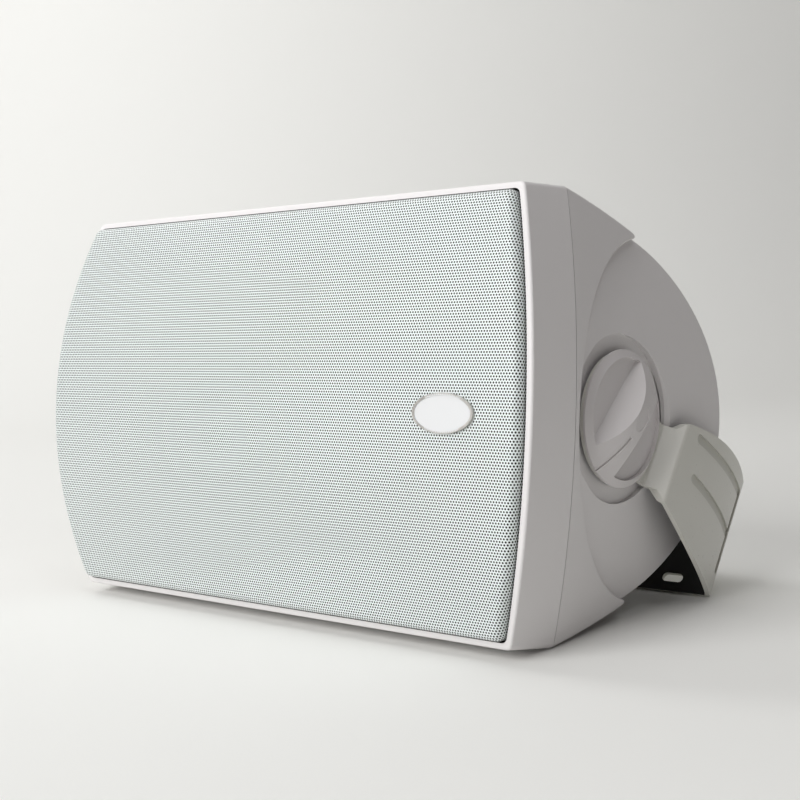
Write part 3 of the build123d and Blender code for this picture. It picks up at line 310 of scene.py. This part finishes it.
# Cabinet screws: six plated steel pan-head screws that pull the two halves together, hidden by the
# grille. The plating has fine turning marks and a slightly uneven shine.
metal_group, nodes, links, given, result = finish_group("plated_metal", ("Marks", 700.0), ("Gloss", 0.25))
mark_tint = 0.25
mark_dulling = 0.2
marks = noise(given["Marks"], 4.0)
shine = maths("MULTIPLY_ADD", maths("SUBTRACT", marks, 0.5), mark_tint, 1.0)
links.new(tinted(given["Colour"], shine), result["Colour"])
links.new(maths("MULTIPLY_ADD", marks, mark_dulling, given["Gloss"]), result["Roughness"])
links.new(marks, result["Height"])


def metal_finish(name, colour, marks, gloss):
    """A bare metal with the plated metal group."""
    finish = group_finish(name, metal_group, colour, 0.00002, Marks=marks, Gloss=gloss)
    finish.node_tree.nodes["Principled BSDF"].inputs["Metallic"].default_value = 1.0
    return finish


def dress(finish, *names):
    """Gives solids that keep their own mesh a material."""
    for name in names:
        solid = frame["nodes"][name]
        solid.data.materials.clear()
        solid.data.materials.append(finish)


screw_steel = metal_finish("screw_steel", srgb(196, 196, 192), 900.0, 0.22)
dress(screw_steel, "baffle_screws")

# Grille: a shallow pan of perforated sheet, bent to the curve of the front and sprayed white. It
# stands proud of the frame, and its punched rows of staggered holes run on into the bent edge.
hole_pitch = 0.00159
hole_radius = 0.312
hole_edge = 0.02
row_step = sqrt(0.75)
pan_bend = 0.0046
pan_proud = 0.005
plain_edge = 0.0100
least_slope = 0.05
grille = smooth_copy("grille", "grille_pan", "cabinet")
sheet_map = grille.data.uv_layers.new(name="sheet")
bend_way = grille.data.attributes.new("bend_way", "FLOAT", "POINT")
flat = []
for vertex in grille.data.vertices:
    height, depth = below_face(vertex.co)
    depth = max(depth + pan_proud, 0.0)
    turned = acos(1 - depth / pan_bend) if depth < pan_bend else pi / 2
    way = pan_bend * turned + max(depth - pan_bend, 0)
    spare = way - pan_bend * sin(turned)
    side = Vector((vertex.normal.x, vertex.normal.dot(up)))
    side = side.normalized() if side.length > least_slope else Vector((0, 0))
    bend_way.data[vertex.index].value = way
    flat.append((
        (vertex.co.x + spare * side.x) / hole_pitch,
        (face_radius * asin(height / face_radius) + spare * side.y) / hole_pitch,
    ))
for loop in grille.data.loops:
    sheet_map.data[loop.index].uv = flat[loop.vertex_index]

grille_white, nodes, links, shader = new_finish("grille_white")
sheet = nodes.new("ShaderNodeUVMap")
sheet.uv_map = "sheet"
axes = nodes.new("ShaderNodeSeparateXYZ")
links.new(sheet.outputs["UV"], axes.inputs["Vector"])
edge_way = nodes.new("ShaderNodeAttribute")
edge_way.attribute_name = "bend_way"
rows = maths("DIVIDE", axes.outputs["Y"], row_step)
stagger = maths("MULTIPLY", maths("FLOORED_MODULO", maths("FLOOR", rows), 2.0), 0.5)
across = maths("SUBTRACT", maths("FRACT", maths("ADD", axes.outputs["X"], stagger)), 0.5)
along = maths("MULTIPLY", maths("SUBTRACT", maths("FRACT", rows), 0.5), row_step)
reach = maths("SQRT", maths("ADD", maths("MULTIPLY", across, across), maths("MULTIPLY", along, along)))
punched = nodes.new("ShaderNodeMapRange")
punched.interpolation_type = "SMOOTHSTEP"
punched.inputs["From Min"].default_value = hole_radius - hole_edge
punched.inputs["From Max"].default_value = hole_radius + hole_edge
links.new(reach, punched.inputs["Value"])
plain_rim = maths("GREATER_THAN", edge_way.outputs["Fac"], plain_edge)
solid_sheet = maths("MAXIMUM", punched.outputs["Result"], plain_rim)
paint = nodes.new("ShaderNodeGroup")
paint.node_tree = skin_group
paint.inputs["Colour"].default_value = srgb(232, 238, 237)
paint.inputs["Cloud"].default_value = 0.02
paint.inputs["Grain"].default_value = 1800.0
paint.inputs["Gloss"].default_value = 0.4
holes = nodes.new("ShaderNodeMix")
holes.data_type = "RGBA"
holes.inputs["A"].default_value = srgb(16, 16, 17)
links.new(solid_sheet, holes.inputs["Factor"])
links.new(paint.outputs["Colour"], holes.inputs["B"])
links.new(holes.outputs["Result"], shader.inputs["Base Color"])
links.new(paint.outputs["Roughness"], shader.inputs["Roughness"])
dimple = nodes.new("ShaderNodeBump")
dimple.inputs["Distance"].default_value = 0.0002
dimple.inputs["Strength"].default_value = 0.4
links.new(solid_sheet, dimple.inputs["Height"])
links.new(dimple.outputs["Normal"], shader.inputs["Normal"])
grille.data.materials.append(grille_white)

# Badge: a plain oval plate of pressed metal, glued on the grille near its right end. Its face is
# enamelled white, and its rim is left bare with a satin shine.
badge_half_length = 0.018
badge_half_height = 0.0095
rim_share = 0.93
badge_white = group_finish(
    "badge_white", skin_group, srgb(224, 225, 226), 0.00002, Cloud=0.02, Grain=900.0, Gloss=0.25
)
badge_rim = metal_finish("badge_rim", srgb(214, 211, 206), 500.0, 0.22)
badge = smooth_copy("badge", "badge_plate", "cabinet")
badge.data.materials.append(badge_white)
badge.data.materials.append(badge_rim)
badge_low, badge_high = (Vector(corner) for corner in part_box("badge"))
badge_centre = (badge_low + badge_high) / 2
for face in badge.data.polygons:
    offset = face.center - badge_centre
    share = (offset.x / badge_half_length) ** 2 + (offset.dot(up) / badge_half_height) ** 2
    face.material_index = 1 if share > rim_share**2 else 0

# Woofer: a pressed steel basket with a rubber surround, a dark paper cone and dust cap, a cloth
# spider and a ferrite magnet between zinc-plated plates, screwed to the baffle behind the grille.
basket_black = group_finish(
    "basket_black", skin_group, srgb(34, 34, 35), 0.00006, Cloud=0.1, Grain=1200.0, Gloss=0.45
)
surround_rubber = group_finish(
    "surround_rubber", skin_group, srgb(26, 26, 27), 0.00003, Cloud=0.08, Grain=600.0, Gloss=0.55
)
cone_paper = group_finish(
    "cone_paper", skin_group, srgb(52, 51, 50), 0.00025, Cloud=0.25, Grain=320.0, Gloss=0.7
)
ferrite = group_finish("ferrite", skin_group, srgb(58, 57, 56), 0.0002, Cloud=0.2, Grain=450.0, Gloss=0.7)
magnet_steel = metal_finish("magnet_steel", srgb(190, 188, 180), 400.0, 0.3)
dress(basket_black, "woofer_basket")
dress(surround_rubber, "woofer_surround")
dress(cone_paper, "woofer_cone", "dust_cap")
dress(magnet_steel, "woofer_top_plate", "woofer_yoke")
dress(ferrite, "woofer_magnet")
dress(screw_steel, "woofer_screws")

spider_cloth, nodes, links, shader = new_finish("spider_cloth")
place = nodes.new("ShaderNodeTexCoord")
threads = []
for way in ("X", "Z"):
    thread = nodes.new("ShaderNodeTexWave")
    thread.bands_direction = way
    thread.inputs["Scale"].default_value = 320.0
    thread.inputs["Distortion"].default_value = 1.5
    links.new(place.outputs["Object"], thread.inputs["Vector"])
    threads.append(thread.outputs["Fac"])
weave = maths("MAXIMUM", *threads)
cloth_tone = nodes.new("ShaderNodeMix")
cloth_tone.data_type = "RGBA"
cloth_tone.inputs["A"].default_value = srgb(146, 118, 66)
cloth_tone.inputs["B"].default_value = srgb(222, 198, 146)
links.new(weave, cloth_tone.inputs["Factor"])
links.new(cloth_tone.outputs["Result"], shader.inputs["Base Color"])
shader.inputs["Roughness"].default_value = 0.8
ridges = nodes.new("ShaderNodeBump")
ridges.inputs["Distance"].default_value = 0.0002
links.new(weave, ridges.inputs["Height"])
links.new(ridges.outputs["Normal"], shader.inputs["Normal"])
dress(spider_cloth, "spider")

# Wire windings: enamelled copper wire wound in close turns, on the voice coil behind the dust cap and
# on the two coils of the crossover.
copper_wire, nodes, links, shader = new_finish("copper_wire")
place = nodes.new("ShaderNodeTexCoord")
turns = nodes.new("ShaderNodeTexWave")
turns.bands_direction = "Y"
turns.inputs["Scale"].default_value = 400.0
turns.inputs["Distortion"].default_value = 0.4
links.new(place.outputs["Object"], turns.inputs["Vector"])
enamel = nodes.new("ShaderNodeMix")
enamel.data_type = "RGBA"
enamel.inputs["A"].default_value = srgb(112, 52, 26)
enamel.inputs["B"].default_value = srgb(214, 134, 84)
links.new(turns.outputs["Fac"], enamel.inputs["Factor"])
links.new(enamel.outputs["Result"], shader.inputs["Base Color"])
shader.inputs["Metallic"].default_value = 1.0
shader.inputs["Roughness"].default_value = 0.28
wound = nodes.new("ShaderNodeBump")
wound.inputs["Distance"].default_value = 0.0003
links.new(turns.outputs["Fac"], wound.inputs["Height"])
links.new(wound.outputs["Normal"], shader.inputs["Normal"])
dress(copper_wire, "voice_coil", "crossover_coils")

# Horn tweeter: a black moulded horn with a compression driver behind its throat, whose foil dome
# sits between a plated plate, a ferrite ring and a plated yoke.
horn_black = group_finish(
    "horn_black", skin_group, srgb(36, 36, 37), 0.00006, Cloud=0.1, Grain=1300.0, Gloss=0.4
)
dome_foil = metal_finish("dome_foil", srgb(222, 222, 224), 300.0, 0.12)
dress(horn_black, "tweeter_horn")
dress(dome_foil, "tweeter_dome")
dress(magnet_steel, "tweeter_plate", "tweeter_yoke")
dress(ferrite, "tweeter_magnet")
dress(screw_steel, "horn_screws")

# Crossover: a green laminate board on four standoffs at the back wall, with a film capacitor in
# yellow wrap and a cement-filled resistor beside the coils.
board_green = group_finish(
    "board_green", skin_group, srgb(58, 106, 66), 0.00005, Cloud=0.25, Grain=900.0, Gloss=0.35
)
wrap_yellow = group_finish(
    "wrap_yellow", skin_group, srgb(222, 190, 74), 0.00004, Cloud=0.06, Grain=500.0, Gloss=0.22
)
cement_white = group_finish(
    "cement_white", skin_group, srgb(226, 222, 210), 0.0003, Cloud=0.12, Grain=700.0, Gloss=0.75
)
dress(board_green, "crossover_board")
dress(wrap_yellow, "crossover_capacitor")
dress(cement_white, "crossover_resistor")
dress(screw_steel, "board_screws")

# Terminal cup: a black moulded tray set into the cabinet's back, with two brass binding posts whose
# fluted cap nuts are red and black.
cup_black = group_finish(
    "cup_black", skin_group, srgb(38, 38, 39), 0.00007, Cloud=0.1, Grain=1200.0, Gloss=0.45
)
cap_red = group_finish(
    "cap_red", skin_group, srgb(168, 28, 24), 0.00003, Cloud=0.08, Grain=700.0, Gloss=0.2
)
cap_black = group_finish(
    "cap_black", skin_group, srgb(30, 30, 31), 0.00003, Cloud=0.08, Grain=700.0, Gloss=0.2
)
post_brass = metal_finish("post_brass", srgb(222, 188, 112), 800.0, 0.16)
terminal_tray = smooth_copy("terminal_cup", "terminal_tray", "cabinet")
terminal_tray.data.materials.append(cup_black)
posts = smooth_copy("binding_posts", "post_pair", "cabinet")
posts.data.materials.append(post_brass)
for shade, plastic in (("red", cap_red), ("black", cap_black)):
    cap_nut = smooth_copy(f"post_cap_{shade}", f"cap_nut_{shade}", f"{shade}_cap")
    cap_nut.data.materials.append(plastic)

# Terminal screws: four small plated pan-head screws with cross recesses, driven through the cup's
# flange into the cabinet's back.
head_radius = 0.0028
head_height = 0.0022
head_rounding = 0.001
cross_length = 0.0032
cross_width = 0.0008
cross_depth = 0.0013
shank_radius = 0.0015
shank_length = 0.009
screw_across = 0.03635
screw_up = 0.019
flange_depth = 0.171
bpy.ops.object.select_all(action="DESELECT")
bpy.ops.mesh.primitive_cylinder_add(vertices=48, radius=head_radius, depth=head_height)
terminal_screws = bpy.context.object
terminal_screws.name = "terminal_screw_set"
for face in terminal_screws.data.polygons:
    face.select = face.normal.z < -0.9
bpy.ops.object.mode_set(mode="EDIT")
bpy.ops.mesh.select_mode(type="FACE")
bpy.ops.mesh.inset(thickness=head_radius - shank_radius)
bpy.ops.mesh.extrude_region_move(TRANSFORM_OT_translate={"value": (0, 0, -shank_length)})
bpy.ops.mesh.select_all(action="DESELECT")
bpy.ops.mesh.select_mode(type="EDGE")
bpy.ops.object.mode_set(mode="OBJECT")
for edge in terminal_screws.data.edges:
    ends = [terminal_screws.data.vertices[v].co for v in edge.vertices]
    edge.select = all(end.z > head_height / 2 - 1e-5 for end in ends)
bpy.ops.object.mode_set(mode="EDIT")
bpy.ops.mesh.bevel(offset=head_rounding, segments=5)
bpy.ops.object.mode_set(mode="OBJECT")
for turn in (0, pi / 2):
    bpy.ops.object.select_all(action="DESELECT")
    bpy.ops.mesh.primitive_cube_add(size=1, location=(0, 0, head_height / 2), rotation=(0, 0, turn))
    recess = bpy.context.object
    recess.scale = (cross_length, cross_width, 2 * cross_depth)
    bpy.ops.object.transform_apply(location=True, rotation=True, scale=True)
    take(terminal_screws)
    bpy.ops.object.modifier_add(type="BOOLEAN")
    terminal_screws.modifiers[-1].object = recess
    bpy.ops.object.modifier_apply(modifier=terminal_screws.modifiers[-1].name)
    bpy.data.objects.remove(recess)
bpy.ops.object.shade_smooth_by_angle(angle=radians(30))
aimed = Matrix((Vector((1, 0, 0)), -up, back)).transposed().to_4x4()
head_depth = flange_depth + head_height / 2 - pivot_depth
first_spot, *other_spots = [
    pivot + back * head_depth + Vector((i * screw_across, 0, 0)) + up * (j * screw_up)
    for i in (-1, 1)
    for j in (-1, 1)
]
spares = []
for spot in other_spots:
    spare = terminal_screws.copy()
    spare.data = terminal_screws.data.copy()
    spare.data.transform(Matrix.Translation(spot) @ aimed)
    scene.collection.objects.link(spare)
    spares.append(spare)
terminal_screws.data.transform(Matrix.Translation(first_spot) @ aimed)
take(terminal_screws)
for spare in spares:
    spare.select_set(True)
bpy.ops.object.join()
terminal_screws.data.materials.append(screw_steel)
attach(terminal_screws, "cabinet")
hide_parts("terminal_screws")

# Pivots: brass inserts moulded into the cabinet's ends and rubber friction washers that let the
# bracket hold its angle.
washer_rubber = group_finish(
    "washer_rubber", skin_group, srgb(40, 40, 41), 0.0001, Cloud=0.1, Grain=1000.0, Gloss=0.75
)
dress(post_brass, "pivot_inserts")
washers = smooth_copy("friction_washers", "washer_pair", "cabinet")
washers.data.materials.append(washer_rubber)

# Bracket: one strip of steel folded into a U, with ramped and bowed arms, pressed beads and slots
# for the wall screws. It is powder coated white; the inside of the U is coloured near-black as
# painted shade, and the pressed beads on the arms are coloured darker as painted shade.
bracket_coat = group_finish(
    "bracket_coat", skin_group, srgb(214, 213, 206), 0.00002, Cloud=0.025, Grain=700.0, Gloss=0.24
)
# Painted shade: near-black colour for the inside of the U, where shade falls under the cabinet.
bracket_inside_painted_shade = group_finish(
    "bracket_inside_painted_shade", skin_group, srgb(12, 12, 11), 0.00008, Cloud=0.1, Grain=1100.0, Gloss=0.5
)
# Painted shade: a darker tint in the pressed bead channels, standing in for shade in the grooves.
bracket_bead_painted_shade = group_finish(
    "bracket_bead_painted_shade", skin_group, srgb(196, 195, 187), 0.00002, Cloud=0.06, Grain=700.0, Gloss=0.34
)
inside_turn = -0.5
plate_start = 0.110
plate_inside = 0.1266
arm_inside = 0.170
bead_reach = 0.0026
bead_runs = (
    (Vector((0.054, 0.0205)), Vector((0.122, 0.0255))),
    (Vector((0.122, 0.0255)), Vector((0.122, 0.0045))),
    (Vector((0.059, 0.0)), Vector((0.122, 0.0))),
    (Vector((0.122, 0.0)), Vector((0.122, -0.021))),
)


def in_bead(spot):
    """True for a place on an arm, seen from its side, that lies in one of the pressed beads."""
    for start, end in bead_runs:
        run = end - start
        share = max(0.0, min(1.0, (spot - start).dot(run) / run.length_squared))
        if (spot - start - run * share).length < bead_reach:
            return True
    return False


wall_face = next(mount for mount in frame["record"]["mounts"] if mount["name"] == "wall_face")
outward = Vector(wall_face["axis"])
bracket = smooth_copy("bracket", "folded_bracket", "bracket")
bracket.data.materials.append(bracket_coat)
bracket.data.materials.append(bracket_inside_painted_shade)
bracket.data.materials.append(bracket_bead_painted_shade)
across_arm = Vector((1, 0, 0)).cross(outward)
for face in bracket.data.polygons:
    from_pivot = face.center - pivot
    reach_out = from_pivot.dot(outward)
    plate_side = reach_out > plate_start and abs(face.center.x) < arm_inside
    on_plate = plate_side and face.normal.dot(outward) < inside_turn
    on_arm = reach_out < plate_inside and face.normal.x * (1 if face.center.x > 0 else -1) < inside_turn
    # Faces on the inside of the U get the near-black painted shade.
    if on_plate or on_arm:
        face.material_index = 1
    # Faces in the pressed beads get the darker painted shade.
    elif not plate_side and in_bead(Vector((reach_out, from_pivot.dot(across_arm)))):
        face.material_index = 2

# Thumb knobs: round white mouldings with two deep scoops that leave a grip bar across the middle,
# each moulded on a plated steel stud.
knob_white = group_finish(
    "knob_white", skin_group, srgb(217, 213, 213), 0.00005, Cloud=0.02, Grain=1300.0, Gloss=0.36
)
for side in ("right", "left"):
    knob = smooth_copy(f"knob_{side}", f"thumb_knob_{side}", f"{side}_knob")
    knob.data.materials.append(knob_white)
dress(screw_steel, "knob_stud_right", "knob_stud_left")
